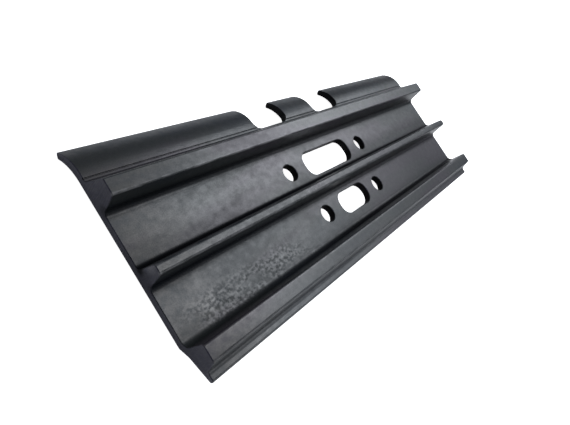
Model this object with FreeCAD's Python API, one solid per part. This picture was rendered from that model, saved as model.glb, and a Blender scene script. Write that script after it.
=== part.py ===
import FreeCAD, Part
import math
import os
from FreeCAD import Vector

# Triple-grouser track shoe of an excavator, 190 mm pitch class, in millimetres.
# A steel section is hot rolled and cut to length, and its bolt holes, mud slots and lip notches are punched.
# X runs along the shoe, +Y towards its leading lip, +Z away from the track links.
# The origin is the middle of the bolt pattern, on the flat face that the links are bolted to.

# Rolled section
shoeLength = 600.0
plateThickness = 9.0
grouserHeight = 36.0            # link face to grouser tips

# Each grouser has its place, and how far its flanks lean outwards on the way down to their roots.
# A front flank faces the tail and a back flank faces the lip.
leadTipY = 72.7
leadTipWidth = 15.0
leadTipRadius = 1.8
leadFrontLean = 3.0
leadBackLean = 11.2
leadFrontRootRadius = 6.0
leadBackRootRadius = 2.0

midTipY = -0.7
midTipWidth = 8.8
midTipRadius = 2.8
midFrontLean = 3.2
midBackLean = 5.4
midRootRadius = 5.5

trailTipY = -73.2
trailTipWidth = 15.6
trailTipRadius = 3.0
trailFrontLean = 5.2
trailBackLean = 2.6
trailFrontRootRadius = 4.5
trailBackRootRadius = 7.5

# Raised tail, which laps over the lip of the next shoe. Reaches are measured back from the origin.
tailReach = 95.0
tailTopZ = 20.4
tailTopRadius = 2.4             # rounds the upper side of the tail's edge
tailUnderZ = 15.3
tailUnderRadius = 1.2
tailKneeReach = 70.5
tailKneeZ = 6.8
tailKneeRadius = 14.0
heelReach = 60.6                # where the flat link face ends
heelRadius = 1.5

# Leading lip, curled down towards the links and thinner at its edge
lipTopStartY = 98.0
lipTopRadius = 39.6
lipTopSweep = 55.0              # degrees
lipUnderStartY = 96.0
lipUnderRadius = 43.6
lipUnderSweep = 42.6            # degrees
lipEdgeRadius = 1.2

# Seam groove that the rolls leave between the leading grouser and the lip
grooveY = 95.0
grooveWidth = 1.6
grooveDepth = 0.9
grooveRadius = 0.4

# Bolt holes: a wide pair in the leading row and a narrow pair in the trailing row
leadBoltSpacing = 160.4
trailBoltSpacing = 124.4
boltRowSpacing = 62.0
boltHoleRadius = 10.5

# Mud slots, one in the middle of each bolt row
leadSlotLength = 98.0
leadSlotWidth = 32.0
leadSlotShift = 0.5             # from the middle of its bolt row towards the lip
trailSlotLength = 64.5
trailSlotWidth = 29.0
trailSlotShift = 0.0
slotCornerRadius = 13.0

# Notches in the lip, which clear the ends of the neighbouring links
notchInnerX = 29.0
notchWidth = 60.0
notchFloorY = 92.6
notchFloorRadius = 10.0
notchMouthRadius = 6.0

punchEdgeBevel = 0.7            # drawn-in edge on the side where the punch enters
cutterMargin = 10.0             # how far a cutting shape stands clear of the steel
lengthTolerance = 0.001         # two lengths this close count as the same


def sectionPoint(y, z):
    """A point of the section, drawn at the end of the shoe that has the lowest X."""
    return Vector(-shoeLength / 2, y, z)


def cornerArc(before, corner, after, radius):
    """The arc that rounds a corner, made smaller where the sides are too short for its radius."""
    toBefore = (before - corner).normalize()
    toAfter = (after - corner).normalize()
    halfAngle = toBefore.getAngle(toAfter) / 2
    shortSide = min(before.distanceToPoint(corner), after.distanceToPoint(corner))
    setback = min(radius / math.tan(halfAngle), 0.48 * shortSide)
    inwards = (toBefore + toAfter).normalize()
    nearest = setback / math.cos(halfAngle) - setback * math.tan(halfAngle)
    return Part.Arc(corner + toBefore * setback, corner + inwards * nearest, corner + toAfter * setback)


def roundedRun(start, corners, end):
    """Edges from start to end by way of corners, each a point and the radius that rounds it."""
    points = [start] + [point for point, radius in corners] + [end]
    edges = []
    reached = start
    for index, (point, radius) in enumerate(corners):
        arc = cornerArc(points[index], point, points[index + 2], radius)
        edges.append(Part.LineSegment(reached, arc.StartPoint).toShape())
        edges.append(arc.toShape())
        reached = arc.EndPoint
    edges.append(Part.LineSegment(reached, end).toShape())
    return edges


def curlPoint(startY, startZ, radius, sweep):
    """Where a surface that starts to curl down at startY has turned through sweep degrees."""
    turn = math.radians(sweep)
    return sectionPoint(startY + radius * math.sin(turn), startZ - radius * (1 - math.cos(turn)))


def curlArc(startY, startZ, radius, sweep):
    """One side of the lip, from the flat plate to the lip's edge."""
    places = [curlPoint(startY, startZ, radius, share * sweep) for share in (0, 0.5, 1)]
    return Part.Arc(*places).toShape()


def tailCorners():
    """From the heel round the raised tail, up to the edge of its top."""
    return [
        (sectionPoint(-heelReach, 0), heelRadius),
        (sectionPoint(-tailKneeReach, tailKneeZ), tailKneeRadius),
        (sectionPoint(-tailReach, tailUnderZ), tailUnderRadius),
        (sectionPoint(-tailReach, tailTopZ), tailTopRadius),
    ]


def grouserCorners(tipY, tipWidth, frontLean, backLean, frontZ, radii):
    """Front root, both tip corners and back root of one grouser."""
    front = tipY - tipWidth / 2
    back = tipY + tipWidth / 2
    places = [
        sectionPoint(front - frontLean, frontZ),
        sectionPoint(front, grouserHeight),
        sectionPoint(back, grouserHeight),
        sectionPoint(back + backLean, plateThickness),
    ]
    return list(zip(places, radii))


def grooveCorners():
    """The seam groove, a shallow V."""
    return [
        (sectionPoint(grooveY - grooveWidth / 2, plateThickness), grooveRadius),
        (sectionPoint(grooveY, plateThickness - grooveDepth), grooveRadius),
        (sectionPoint(grooveY + grooveWidth / 2, plateThickness), grooveRadius),
    ]


def rolledSection():
    """The closed outline of the rolled section."""
    tail = tailCorners()
    trailing = grouserCorners(
        trailTipY, trailTipWidth, trailFrontLean, trailBackLean, tailTopZ,
        (trailFrontRootRadius, trailTipRadius, trailTipRadius, trailBackRootRadius))
    middle = grouserCorners(
        midTipY, midTipWidth, midFrontLean, midBackLean, plateThickness,
        (midRootRadius, midTipRadius, midTipRadius, midRootRadius))
    leading = grouserCorners(
        leadTipY, leadTipWidth, leadFrontLean, leadBackLean, plateThickness,
        (leadFrontRootRadius, leadTipRadius, leadTipRadius, leadBackRootRadius))
    lipTop = curlArc(lipTopStartY, plateThickness, lipTopRadius, lipTopSweep)
    lipUnder = curlArc(lipUnderStartY, 0, lipUnderRadius, lipUnderSweep)
    edges = roundedRun(
        sectionPoint(lipUnderStartY, 0),
        tail + trailing + middle + leading + grooveCorners(),
        sectionPoint(lipTopStartY, plateThickness))
    lipEdge = Part.LineSegment(lipTop.Vertexes[-1].Point, lipUnder.Vertexes[-1].Point).toShape()
    return Part.Wire(Part.__sortEdges__(edges + [lipTop, lipUnder, lipEdge]))


def rolledBar():
    """The section drawn out to the shoe's length, with the lip's edge rounded."""
    bar = Part.Face(rolledSection()).extrude(Vector(shoeLength, 0, 0))
    edgeY = curlPoint(lipUnderStartY, 0, lipUnderRadius, lipUnderSweep).y
    lipEdges = [
        edge for edge in bar.Edges
        if abs(edge.BoundBox.XLength - shoeLength) < lengthTolerance
        and edge.BoundBox.YMin > edgeY - lengthTolerance]
    return bar.makeFillet(lipEdgeRadius, lipEdges)


def cutterBottom():
    """The height that upright cutters start from, clear below the lip."""
    return curlPoint(lipUnderStartY, 0, lipUnderRadius, lipUnderSweep).z - cutterMargin


def cutterRise():
    """How far upright cutters rise from there, to pass through the whole section."""
    return grouserHeight + cutterMargin - cutterBottom()


def slotCutter(length, width, centreY):
    """An upright cutter for a mud slot with rounded corners."""
    corner = Vector(-length / 2, centreY - width / 2, cutterBottom())
    block = Part.makeBox(length, width, cutterRise(), corner)
    upright = [edge for edge in block.Edges if edge.BoundBox.ZLength > cutterRise() - lengthTolerance]
    return block.makeFillet(min(slotCornerRadius, 0.48 * min(length, width)), upright)


def mudSlots():
    """Cutters for the two mud slots."""
    return [
        slotCutter(leadSlotLength, leadSlotWidth, boltRowSpacing / 2 + leadSlotShift),
        slotCutter(trailSlotLength, trailSlotWidth, -boltRowSpacing / 2 + trailSlotShift),
    ]


def boltHoles():
    """Cutters for the four bolt holes."""
    rows = [(leadBoltSpacing, boltRowSpacing / 2), (trailBoltSpacing, -boltRowSpacing / 2)]
    centres = [Vector(side * spacing / 2, y, cutterBottom()) for spacing, y in rows for side in (-1, 1)]
    return [Part.makeCylinder(boltHoleRadius, cutterRise(), centre) for centre in centres]


def notchCutter(side):
    """An upright cutter for one notch, rounded at its floor and where it opens at the lip's edge."""
    mouthY = curlPoint(lipTopStartY, plateThickness, lipTopRadius, lipTopSweep).y
    inner = notchInnerX
    outer = notchInnerX + notchWidth
    places = [
        (inner - cutterMargin, mouthY, 0),
        (inner, mouthY, notchMouthRadius),
        (inner, notchFloorY, notchFloorRadius),
        (outer, notchFloorY, notchFloorRadius),
        (outer, mouthY, notchMouthRadius),
        (outer + cutterMargin, mouthY, 0),
    ]
    corners = [(Vector(side * x, y, cutterBottom()), radius) for x, y, radius in places]
    start = corners[0][0]
    end = corners[-1][0]
    beyond = Vector(0, cutterMargin, 0)
    outside = Part.makePolygon([end, end + beyond, start + beyond, start]).Edges
    outline = Part.Wire(Part.__sortEdges__(roundedRun(start, corners[1:-1], end) + outside))
    return Part.Face(outline).extrude(Vector(0, 0, cutterRise()))


def punchedRims(shoe):
    """The outlines of the holes and slots on the grouser side of the plate."""
    furthestX = leadBoltSpacing / 2 + boltHoleRadius
    return [
        edge for edge in shoe.Edges
        if abs(edge.BoundBox.ZMin - plateThickness) < lengthTolerance
        and abs(edge.BoundBox.ZMax - plateThickness) < lengthTolerance
        and max(-edge.BoundBox.XMin, edge.BoundBox.XMax) < furthestX + lengthTolerance
        and edge.BoundBox.YMax < leadTipY]


def trackShoe():
    """The finished shoe."""
    bar = rolledBar()
    cutters = boltHoles() + mudSlots() + [notchCutter(side) for side in (-1, 1)]
    punched = bar.cut(Part.makeCompound(cutters))
    return punched.makeChamfer(punchEdgeBevel, punchedRims(punched))


os.makedirs("parts", exist_ok=True)
shoe = trackShoe()
shoe.exportStep("parts/track_shoe.step")
print("track_shoe", shoe.isValid(), len(shoe.Solids), round(shoe.Volume), shoe.BoundBox)
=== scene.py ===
import math

import bpy
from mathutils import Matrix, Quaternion, Vector


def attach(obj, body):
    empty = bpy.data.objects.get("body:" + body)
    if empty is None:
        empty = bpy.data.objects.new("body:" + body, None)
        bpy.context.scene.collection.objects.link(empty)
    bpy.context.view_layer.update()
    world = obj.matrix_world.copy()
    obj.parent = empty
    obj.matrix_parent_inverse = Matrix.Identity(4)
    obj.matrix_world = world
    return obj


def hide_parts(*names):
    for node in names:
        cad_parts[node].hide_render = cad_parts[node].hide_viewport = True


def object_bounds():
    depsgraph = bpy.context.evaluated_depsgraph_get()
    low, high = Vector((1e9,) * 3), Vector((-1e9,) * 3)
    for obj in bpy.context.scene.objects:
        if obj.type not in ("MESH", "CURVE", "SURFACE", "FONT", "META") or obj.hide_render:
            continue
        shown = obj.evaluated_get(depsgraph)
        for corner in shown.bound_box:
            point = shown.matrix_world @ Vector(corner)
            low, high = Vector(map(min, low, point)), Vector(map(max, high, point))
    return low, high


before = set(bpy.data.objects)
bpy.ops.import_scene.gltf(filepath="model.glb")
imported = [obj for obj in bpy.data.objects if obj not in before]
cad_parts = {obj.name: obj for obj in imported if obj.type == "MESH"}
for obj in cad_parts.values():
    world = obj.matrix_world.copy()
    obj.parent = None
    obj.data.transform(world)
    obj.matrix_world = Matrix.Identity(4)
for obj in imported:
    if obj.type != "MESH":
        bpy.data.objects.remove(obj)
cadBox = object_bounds()
print("frame loaded", sorted(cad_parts))


# node helpers, shared by all materials

def addNode(tree, kind, **settings):
    node = tree.nodes.new("ShaderNode" + kind)
    for name, value in settings.items():
        setattr(node, name, value)
    return node


def plug(tree, socket, value):
    # a value may be a number, a colour or another node's output
    if isinstance(value, bpy.types.NodeSocket):
        tree.links.new(value, socket)
    elif value is not None:
        socket.default_value = value


def plugAll(tree, sockets, values):
    for socket, value in zip(sockets, values):
        plug(tree, socket, value)


def feed(tree, node, **values):
    # sockets by name, spaces left out
    for socket in node.inputs:
        plug(tree, socket, values.get(socket.name.replace(" ", "")))
    return node


def calc(tree, operation, first, second=None):
    node = addNode(tree, "Math", operation=operation)
    plugAll(tree, node.inputs, (first, second))
    return node.outputs[0]


def times(tree, product, *others):
    for value in others:
        product = calc(tree, "MULTIPLY", product, value)
    return product


def weighed(tree, *rows):
    # a sum of values, each in a row with its weight
    total = None
    for value, weight in rows:
        part = times(tree, value, weight)
        total = part if total is None else calc(tree, "ADD", total, part)
    return total


def spread(tree, value, low, high, newLow=0.0, newHigh=1.0):
    node = addNode(tree, "MapRange", interpolation_type="SMOOTHSTEP")
    plugAll(tree, node.inputs, (value, low, high, newLow, newHigh))
    return node.outputs[0]


def between(tree, value, low, lowFull, highFull, high):
    return times(tree, spread(tree, value, low, lowFull), spread(tree, value, highFull, high, 1.0, 0.0))


def grain(tree, coords, perMetre, detail):
    # noise with its own count of spots per metre along X, Y and Z
    place = feed(tree, addNode(tree, "Mapping"), Vector=coords, Scale=perMetre)
    noise = feed(tree, addNode(tree, "TexNoise"), Vector=place.outputs[0], Scale=1.0, Detail=detail)
    return noise.outputs["Fac"]


def blendColour(tree, share, first, second):
    # a Mix node keeps its colours in sockets 6 and 7
    node = addNode(tree, "Mix", data_type="RGBA")
    plugAll(tree, (node.inputs[0], node.inputs[6], node.inputs[7]), (share, first, second))
    return node.outputs[2]


def blendNumber(tree, share, first, second):
    # and its numbers in sockets 2 and 3
    node = addNode(tree, "Mix", data_type="FLOAT")
    plugAll(tree, (node.inputs[0], node.inputs[2], node.inputs[3]), (share, first, second))
    return node.outputs[0]


def bump(tree, height, strength, depth, below=None):
    node = addNode(tree, "Bump")
    return feed(tree, node, Height=height, Strength=strength, Distance=depth, Normal=below).outputs[0]


def litAndSeen(tree, lit, seen):
    # one strength for the light it gives, and one for how bright it looks
    ray = addNode(tree, "LightPath").outputs["Is Camera Ray"]
    return spread(tree, ray, 0.0, 1.0, lit, seen)


cameraSet = {
    "place": (-0.46624, -0.03633, 0.33717),
    "turn": (31.503, -35.976, -41.183),     # degrees; held with a strong roll
    "lens": 28.04,
    "sensor": 36.0,
    "nearest": 0.01,
}


def addCamera(v):
    bpy.ops.object.camera_add(location=v["place"], rotation=[math.radians(a) for a in v["turn"]])
    camera = bpy.context.object
    camera.name = "camera"
    camera.data.lens = v["lens"]
    camera.data.sensor_width = v["sensor"]
    camera.data.clip_start = v["nearest"]
    bpy.context.scene.camera = camera


addCamera(cameraSet)
print("camera placed")


stageSet = {
    "floorSize": 40.0,
    "floorColour": (0.86, 0.86, 0.86, 1.0),
    "floorRoughness": 0.9,
    "floorShine": 0.1,
    "floorGlow": 0.12,                      # a lit floor, so that low faces aren't black
    "floorGlowSeen": 1.0,                   # how brightly the same glow shows
    "skyColour": (0.8, 0.86, 1.0, 1.0),
    "skyStrength": 0.2,
    "skySeen": 1.3,                         # pale sky past the edge of the floor
    "lightDistance": 1.5,                   # from the origin, which they all point at
    "lightColour": (0.955, 0.99, 1.04),
}

softLights = [
    # name, elevation, azimuth, long side, short side, roll of the long side, watts
    ("highPanel", 58, 8, 1.0, 0.7, -44, 17.5),
    ("lowPanel", 34, 18, 0.6, 0.5, -30, 4.0),
    ("edgeFill", 26, -42, 0.8, 0.45, 0, 2.4),
    ("tailFill", 14, -75, 0.9, 0.25, 0, 3.0),
]


def addFloor(v):
    bpy.ops.mesh.primitive_plane_add(size=v["floorSize"], location=(0.0, 0.0, cadBox[0][2]))
    floor = bpy.context.object
    floor.name = "floor"
    paint = bpy.data.materials.new("floorPaint")
    paint.use_nodes = True
    tree = paint.node_tree
    shader = tree.nodes["Principled BSDF"]
    shader.inputs["Base Color"].default_value = v["floorColour"]
    shader.inputs["Roughness"].default_value = v["floorRoughness"]
    shader.inputs["Specular IOR Level"].default_value = v["floorShine"]
    strength = litAndSeen(tree, v["floorGlow"], v["floorGlowSeen"])
    glow = feed(tree, addNode(tree, "Emission"), Strength=strength)
    both = addNode(tree, "AddShader")
    plugAll(tree, both.inputs, (shader.outputs[0], glow.outputs[0]))
    tree.links.new(both.outputs[0], tree.nodes["Material Output"].inputs["Surface"])
    floor.data.materials.append(paint)


def addLights(rows, v):
    for name, elevation, azimuth, longSide, shortSide, roll, watts in rows:
        e = math.radians(elevation)
        a = math.radians(azimuth)
        towards = Vector((math.cos(e) * math.cos(a), math.cos(e) * math.sin(a), math.sin(e)))
        bpy.ops.object.light_add(type="AREA", location=towards * v["lightDistance"])
        light = bpy.context.object
        light.name = name
        light.data.shape = "RECTANGLE"
        light.data.size = longSide
        light.data.size_y = shortSide
        light.data.energy = watts
        light.data.color = v["lightColour"]
        # straight at the origin, with its long side level before the roll
        aim = (-towards).to_track_quat("-Z", "Y")
        light.rotation_euler = (aim @ Quaternion((0.0, 0.0, 1.0), math.radians(roll))).to_euler()


def addSky(v):
    world = bpy.data.worlds.new("studio")
    bpy.context.scene.world = world
    world.use_nodes = True
    tree = world.node_tree
    background = tree.nodes["Background"]
    background.inputs["Color"].default_value = v["skyColour"]
    tree.links.new(litAndSeen(tree, v["skyStrength"], v["skySeen"]), background.inputs["Strength"])


addFloor(stageSet)
addLights(softLights, stageSet)
addSky(stageSet)
bpy.context.scene.view_settings.view_transform = "Standard"
print("floor and lights placed")


# rolled steel: thin dark mill scale, with uncoated steel where it is worn and as painted highlights on rib
# edges, and painted shade in roots and holes
steelSet = {
    "blueScale": (0.006, 0.009, 0.013, 1.0),
    "greenScale": (0.011, 0.0135, 0.0135, 1.0),
    "violetScale": (0.014, 0.012, 0.016, 1.0),
    "dustyScale": (0.034, 0.034, 0.036, 1.0),
    "bareSteel": (0.12, 0.12, 0.122, 1.0),
    "cutSteel": (0.015, 0.015, 0.033, 1.0),
    # near-black, the colour of the painted shade in roots, crevices, dark strips and walls
    "dirt": (0.002, 0.002, 0.003, 1.0),
    "greenShine": (0.98, 1.0, 1.0, 1.0),
    "violetShine": (1.0, 0.975, 1.02, 1.0),
    "warmShine": (1.0, 0.965, 0.93, 1.0),
    "warmX": (-0.30, -0.20),                # handled end, a little browner
    "warmShare": 0.9,
    "warmMottle": (0.2, 0.6),
    "shine": (0.40, 0.62),                  # dullest and shiniest
    "rough": (0.49, 0.37),                  # roughest and smoothest

    # noise: spots per metre along X, Y and Z, and its detail
    "cloudGrain": ((7.0, 22.0, 22.0), 3.0),
    "tintGrain": ((4.5, 26.0, 26.0), 2.0),
    "streakGrain": ((16.0, 380.0, 380.0), 3.0),
    "mottleGrain": ((140.0, 170.0, 170.0), 4.0),
    "fineGrain": ((800.0, 900.0, 900.0), 2.0),
    "flakeGrain": ((270.0, 330.0, 250.0), 5.0),
    "shearGrain": ((60.0, 520.0, 70.0), 3.0),
    "gapGrain": ((24.0, 50.0, 50.0), 3.0),
    "rubGrain": ((60.0, 220.0, 220.0), 4.0),

    # how the noise becomes tint, dust, shine and roughness
    "greenTints": (0.38, 0.50),
    "violetTints": (0.52, 0.64),
    "shineTints": (0.42, 0.60),
    "lipY": (0.088, 0.100),                 # the lip starts here and is the bluest
    "lipBlue": 0.12,
    "dustMottle": (0.48, 0.72),
    "dustClouds": (0.40, 0.62),
    "dustShare": 0.25,
    "unevenWeights": (0.10, 0.06, 0.16, 0.28),  # clouds, streaks, mottle, fine grain
    "unevenRange": (0.16, 0.44),
    "roughWeights": (0.6, 0.4),             # clouds, mottle
    "roughRange": (0.35, 0.65),

    # cut ends, and painted shade in hole and notch walls and in roots
    "endFacing": 0.7,                       # cut ends face along X by more than this
    "wallFacing": 0.35,                     # walls face up or down by less than this
    "wallTop": 0.0092,                      # and lie below this
    "wallReach": 0.1,                       # and this near to the middle
    # painted shade in the walls: the share of shine they keep
    "wallShine": 0.15,
    "rootReach": 0.007,                     # painted shade darkens colour and shine where faces come this close
    "rootOpen": (0.15, 0.75),
    "rootSamples": 6,

    # flaked scale near one end, fading in and out
    "patchX": (-0.31, -0.25, -0.17, -0.09),
    "patchY": (-0.064, -0.057, -0.044, -0.026),
    "patchTop": (0.010, 0.013),
    "patchGaps": (0.34, 0.50),
    "looseFlakes": (0.45, 0.60),
    "pitFlakes": (0.36, 0.64),
    "pitShine": (0.52, 1.52),               # of its pits and of its flakes

    # scuff on the middle rib, and uncoated edges, partly worn and partly painted highlight
    "scuffX": (-0.108, -0.096, -0.078, -0.068),
    "scuffY": (-0.005, -0.003, 0.002, 0.004),
    "scuffZ": (0.033, 0.035),
    "scuffFlakes": (0.50, 0.60),
    "scuffShare": 0.7,
    "rubPatches": (0.42, 0.62),
    "bareShare": 0.85,

    # relief: strength and depth, or depth alone
    "streakBump": (0.06, 0.0004),
    "pitBump": (0.45, 0.0004),
    "grainBump": (0.30, 0.0001),
    "shearDepth": 0.0005,
}

# uncoated rib edges, partly wear and partly painted highlight where the light catches the rib edges: y, z,
# how wide, where along X they fade out, how strong
wornAndHighlitEdges = [
    (0.0652, 0.0358, 0.0026, (-0.05, 0.15), 0.80),
    (-0.0048, 0.0356, 0.0036, (0.20, 0.32), 0.45),
    (0.0042, 0.0340, 0.0050, (0.20, 0.32), 0.40),
    (-0.0806, 0.0358, 0.0024, (-0.10, 0.15), 0.30),
]

# chips on corners of the near end, partly wear and partly painted glints: x, y, z, how wide
knocksAndGlints = [
    (-0.3, 0.0650, 0.036, 0.0035),
    (-0.3, -0.0055, 0.036, 0.0040),
]

allAlong = (-0.62, -0.61)                   # fades in before the near end, so it holds all along

# strips of painted shade along and beside the rib roots, which shine less and are darkened towards the
# near-black shade colour, and of painted sheen where the share is above 1, on the middle rib's back flank
# and the tail top: y, z, how wide, where along X they fade in, share of shine
shadeAndSheenStrips = [
    (0.0120, 0.0090, 0.0260, allAlong, 0.66),
    (0.0085, 0.0115, 0.0075, allAlong, 0.15),
    (-0.0600, 0.0090, 0.0150, allAlong, 0.85),
    (-0.0610, 0.0130, 0.0085, (-0.30, 0.00), 0.10),
    (0.0620, 0.0110, 0.0090, allAlong, 0.45),
    (-0.0100, 0.0110, 0.0080, allAlong, 0.55),
    (0.1180, 0.0040, 0.0220, (0.00, 0.10), 0.55),
    (-0.0910, 0.0204, 0.0065, allAlong, 1.50),
    (0.0060, 0.0270, 0.0100, allAlong, 2.20),
]

fullShare = 0.3                             # a strip or knock is at its full out to this share of its width


def fadeOut(tree, far, width):
    return spread(tree, far, fullShare * width, width, 1.0, 0.0)


def stripNear(tree, parts, y, z, width):
    # 1 on a line along X through y, z, fading to 0 at its width
    off = addNode(tree, "CombineXYZ")
    tree.links.new(calc(tree, "SUBTRACT", parts["Y"], y), off.inputs["Y"])
    tree.links.new(calc(tree, "SUBTRACT", parts["Z"], z), off.inputs["Z"])
    far = addNode(tree, "VectorMath", operation="LENGTH")
    tree.links.new(off.outputs[0], far.inputs[0])
    return fadeOut(tree, far.outputs["Value"], width)


def spotNear(tree, coords, place, width):
    far = addNode(tree, "VectorMath", operation="DISTANCE")
    plugAll(tree, far.inputs, (coords, place))
    return fadeOut(tree, far.outputs["Value"], width)


def wearAndHighlight(tree, coords, parts, v):
    # how much uncoated steel shows, partly wear and partly painted highlight on edges and corners
    patchy = spread(tree, grain(tree, coords, *v["rubGrain"]), *v["rubPatches"])
    total = None
    for y, z, width, (fadeFrom, fadeTo), strength in wornAndHighlitEdges:
        fade = spread(tree, parts["X"], fadeFrom, fadeTo, strength, 0.0)
        strip = times(tree, stripNear(tree, parts, y, z, width), patchy, fade)
        total = strip if total is None else calc(tree, "MAXIMUM", total, strip)
    for x, y, z, width in knocksAndGlints:
        total = calc(tree, "MAXIMUM", total, spotNear(tree, coords, (x, y, z), width))
    return total


def stripShadeAndSheen(tree, parts):
    # the share of shine that all the strips leave or add; below 1 it is painted shade, above 1 painted sheen
    total = None
    for y, z, width, (fadeFrom, fadeTo), share in shadeAndSheenStrips:
        fade = spread(tree, parts["X"], fadeFrom, fadeTo, 0.0, 1.0 - share)
        left = calc(tree, "SUBTRACT", 1.0, times(tree, stripNear(tree, parts, y, z, width), fade))
        total = left if total is None else times(tree, total, left)
    return total


def flakedPatch(tree, coords, parts, v):
    # where the scale has come off in flakes
    return times(
        tree,
        between(tree, parts["X"], *v["patchX"]),
        between(tree, parts["Y"], *v["patchY"]),
        spread(tree, parts["Z"], *v["patchTop"], 1.0, 0.0),
        spread(tree, grain(tree, coords, *v["gapGrain"]), *v["patchGaps"]))


def scuffedTop(tree, flakes, parts, v):
    return times(
        tree,
        between(tree, parts["X"], *v["scuffX"]),
        between(tree, parts["Y"], *v["scuffY"]),
        spread(tree, parts["Z"], *v["scuffZ"]),
        spread(tree, flakes, *v["scuffFlakes"], 0.0, v["scuffShare"]))


# upright faces in the holes and notches, which get painted shade
def holeWalls(tree, facing, parts, v):
    upright = calc(tree, "LESS_THAN", calc(tree, "ABSOLUTE", facing["Z"]), v["wallFacing"])
    low = calc(tree, "LESS_THAN", parts["Z"], v["wallTop"])
    inner = calc(tree, "LESS_THAN", calc(tree, "ABSOLUTE", parts["X"]), v["wallReach"])
    return times(tree, upright, low, inner)


def rolledSteel(v):
    paint = bpy.data.materials.new("rolledSteel")
    paint.use_nodes = True
    tree = paint.node_tree
    shader = tree.nodes["Principled BSDF"]
    coords = addNode(tree, "TexCoord")
    place = coords.outputs["Object"]
    parts = feed(tree, addNode(tree, "SeparateXYZ"), Vector=place).outputs
    facing = feed(tree, addNode(tree, "SeparateXYZ"), Vector=coords.outputs["Normal"]).outputs

    # unevenness, from broad clouds down to the grain of the scale
    clouds = grain(tree, place, *v["cloudGrain"])
    tints = grain(tree, place, *v["tintGrain"])
    streaks = grain(tree, place, *v["streakGrain"])
    mottle = grain(tree, place, *v["mottleGrain"])
    fine = grain(tree, place, *v["fineGrain"])
    flakes = grain(tree, place, *v["flakeGrain"])
    shear = grain(tree, place, *v["shearGrain"])

    # where things are
    cutEnd = calc(tree, "GREATER_THAN", calc(tree, "ABSOLUTE", facing["X"]), v["endFacing"])
    wall = holeWalls(tree, facing, parts, v)
    flaked = flakedPatch(tree, place, parts, v)
    # uncoated steel: real wear on the middle rib's top, and partly wear, partly painted highlight on the rib
    # edges and corners
    wornAndHighlit = calc(tree, "MAXIMUM", wearAndHighlight(tree, place, parts, v), scuffedTop(tree, flakes, parts, v))
    # painted shade: ambient occlusion darkens colour and shine in roots and crevices
    root = addNode(tree, "AmbientOcclusion", samples=v["rootSamples"])
    root.inputs["Distance"].default_value = v["rootReach"]
    shadeAndSheenShare = times(tree, spread(tree, root.outputs["AO"], *v["rootOpen"]), stripShadeAndSheen(tree, parts))

    # colour
    tints = calc(tree, "SUBTRACT", tints, spread(tree, parts["Y"], *v["lipY"], 0.0, v["lipBlue"]))
    scale = blendColour(tree, spread(tree, tints, *v["greenTints"]), v["blueScale"], v["greenScale"])
    scale = blendColour(tree, spread(tree, tints, *v["violetTints"]), scale, v["violetScale"])
    dusty = times(tree, spread(tree, mottle, *v["dustMottle"]), spread(tree, clouds, *v["dustClouds"]),
                  v["dustShare"])
    scale = blendColour(tree, dusty, scale, v["dustyScale"])
    loose = times(tree, flaked, spread(tree, flakes, *v["looseFlakes"]))
    scale = blendColour(tree, loose, scale, v["dustyScale"])
    scale = blendColour(tree, cutEnd, scale, v["cutSteel"])
    # lighter uncoated steel, partly wear and partly painted highlight
    scale = blendColour(tree, times(tree, wornAndHighlit, v["bareShare"]), scale, v["bareSteel"])
    # painted shade: roots, crevices and the dark strips are pulled towards near-black
    scale = blendColour(tree, shadeAndSheenShare, v["dirt"], scale)
    # painted shade: hole and notch walls are near-black and shine little
    scale = blendColour(tree, wall, scale, v["dirt"])

    # shine, lowered by painted shade in roots, strips and walls, and raised by painted sheen
    uneven = weighed(tree, *zip((clouds, streaks, mottle, fine), v["unevenWeights"]))
    level = times(
        tree,
        spread(tree, uneven, *v["unevenRange"], *v["shine"]),
        blendNumber(tree, flaked, 1.0, spread(tree, flakes, *v["pitFlakes"], *v["pitShine"])),
        shadeAndSheenShare,
        spread(tree, wall, 0.0, 1.0, 1.0, v["wallShine"]))
    patchy = weighed(tree, *zip((clouds, mottle), v["roughWeights"]))
    rough = spread(tree, patchy, *v["roughRange"], *v["rough"])
    shine = blendColour(tree, spread(tree, tints, *v["shineTints"]), v["greenShine"], v["violetShine"])
    warm = times(tree, spread(tree, parts["X"], *v["warmX"], v["warmShare"], 0.0),
                 spread(tree, mottle, *v["warmMottle"]))
    shine = blendColour(tree, warm, shine, v["warmShine"])

    # relief
    pitStrength, pitDepth = v["pitBump"]
    relief = bump(tree, streaks, *v["streakBump"])
    relief = bump(tree, flakes, times(tree, flaked, pitStrength), pitDepth, relief)
    relief = bump(tree, fine, *v["grainBump"], relief)
    relief = bump(tree, shear, cutEnd, v["shearDepth"], relief)

    feed(tree, shader, BaseColor=scale, Roughness=rough, SpecularIORLevel=level, SpecularTint=shine,
         Normal=relief)
    return paint


shoeSet = {
    "node": "track_shoe",
    "weld": 0.00002,
    "flatAngle": 0.4,                       # degrees; flatter than this becomes one face
    "rimWidth": 0.0006,                     # broken edge round both cut ends
    "endFacing": 0.99,
    "onEnd": 0.00001,                       # as near as this is on the end
    "notchX": (0.027, 0.093),
    "notchY": 0.0985,                       # the lip is curled from here outwards
    "notchRim": 0.0017,                     # how far the punch drew its rims down
    "notchRimSteps": 3,
    "topFacing": 0.3,                       # tops face up by more than this
    "wallFacing": 0.05,                     # and walls by less than this
    "smoothAngle": 32.0,
}


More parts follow.
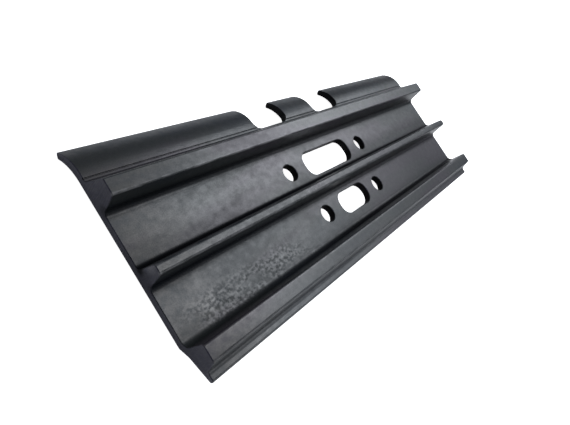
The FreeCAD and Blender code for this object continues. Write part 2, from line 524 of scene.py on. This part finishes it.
def breakEndEdges(shoe, endX, v):
    # the end face is inset, and its old outline is pushed back along the bar
    mesh = shoe.data
    bpy.ops.mesh.select_all(action="DESELECT")
    bpy.ops.object.mode_set(mode="OBJECT")
    for face in mesh.polygons:
        face.select = abs(face.center.x - endX) < v["onEnd"] and abs(face.normal.x) > v["endFacing"]
    bpy.ops.object.mode_set(mode="EDIT")
    bpy.ops.mesh.inset(thickness=v["rimWidth"], depth=0.0, use_even_offset=True)
    bpy.ops.object.mode_set(mode="OBJECT")
    inner = {i for face in mesh.polygons if face.select for i in face.vertices}
    bpy.ops.object.mode_set(mode="EDIT")
    bpy.ops.mesh.select_all(action="DESELECT")
    bpy.ops.object.mode_set(mode="OBJECT")
    for vertex in mesh.vertices:
        vertex.select = abs(vertex.co.x - endX) < v["onEnd"] and vertex.index not in inner
    bpy.ops.object.mode_set(mode="EDIT")
    bpy.ops.transform.translate(value=(-math.copysign(v["rimWidth"], endX), 0.0, 0.0))


def roundNotchRims(shoe, v):
    # where the curled top of the lip meets the notch walls
    mesh = shoe.data
    nearest, furthest = v["notchX"]
    bpy.ops.mesh.select_all(action="DESELECT")
    bpy.context.tool_settings.mesh_select_mode = (False, True, False)
    bpy.ops.object.mode_set(mode="OBJECT")
    tops = {key for face in mesh.polygons if face.normal.z > v["topFacing"] for key in face.edge_keys}
    walls = {key for face in mesh.polygons if abs(face.normal.z) < v["wallFacing"] for key in face.edge_keys}
    for edge in mesh.edges:
        start, end = (mesh.vertices[i].co for i in edge.vertices)
        inNotch = nearest < abs(start.x + end.x) / 2 < furthest
        onLip = min(start.y, end.y) > v["notchY"]
        edge.select = inNotch and onLip and edge.key in tops and edge.key in walls
    print("notch rim edges", sum(edge.select for edge in mesh.edges))
    bpy.ops.object.mode_set(mode="EDIT")
    bpy.ops.mesh.bevel(offset=v["notchRim"], segments=v["notchRimSteps"], affect="EDGES", clamp_overlap=True)


def addShoe(v):
    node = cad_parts[v["node"]]
    bpy.ops.object.select_all(action="DESELECT")
    node.select_set(True)
    bpy.context.view_layer.objects.active = node
    bpy.ops.object.duplicate()
    shoe = bpy.context.object
    shoe.name = "shoe"
    bpy.ops.object.mode_set(mode="EDIT")
    bpy.context.tool_settings.mesh_select_mode = (True, False, True)
    bpy.ops.mesh.select_all(action="SELECT")
    bpy.ops.mesh.remove_doubles(threshold=v["weld"])
    bpy.ops.mesh.dissolve_limited(angle_limit=math.radians(v["flatAngle"]))
    for endX in (cadBox[0][0], cadBox[1][0]):
        breakEndEdges(shoe, endX, v)
    roundNotchRims(shoe, v)
    bpy.ops.object.mode_set(mode="OBJECT")
    bpy.ops.object.shade_smooth_by_angle(angle=math.radians(v["smoothAngle"]))
    bpy.ops.object.modifier_add(type="WEIGHTED_NORMAL")
    shoe.modifiers[-1].keep_sharp = True
    bpy.ops.object.modifier_apply(modifier=shoe.modifiers[-1].name)
    shoe.data.materials.clear()
    shoe.data.materials.append(steel)
    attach(shoe, "root")
    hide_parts(v["node"])
    print("shoe made", len(shoe.data.polygons), "faces")


steel = rolledSteel(steelSet)
addShoe(shoeSet)
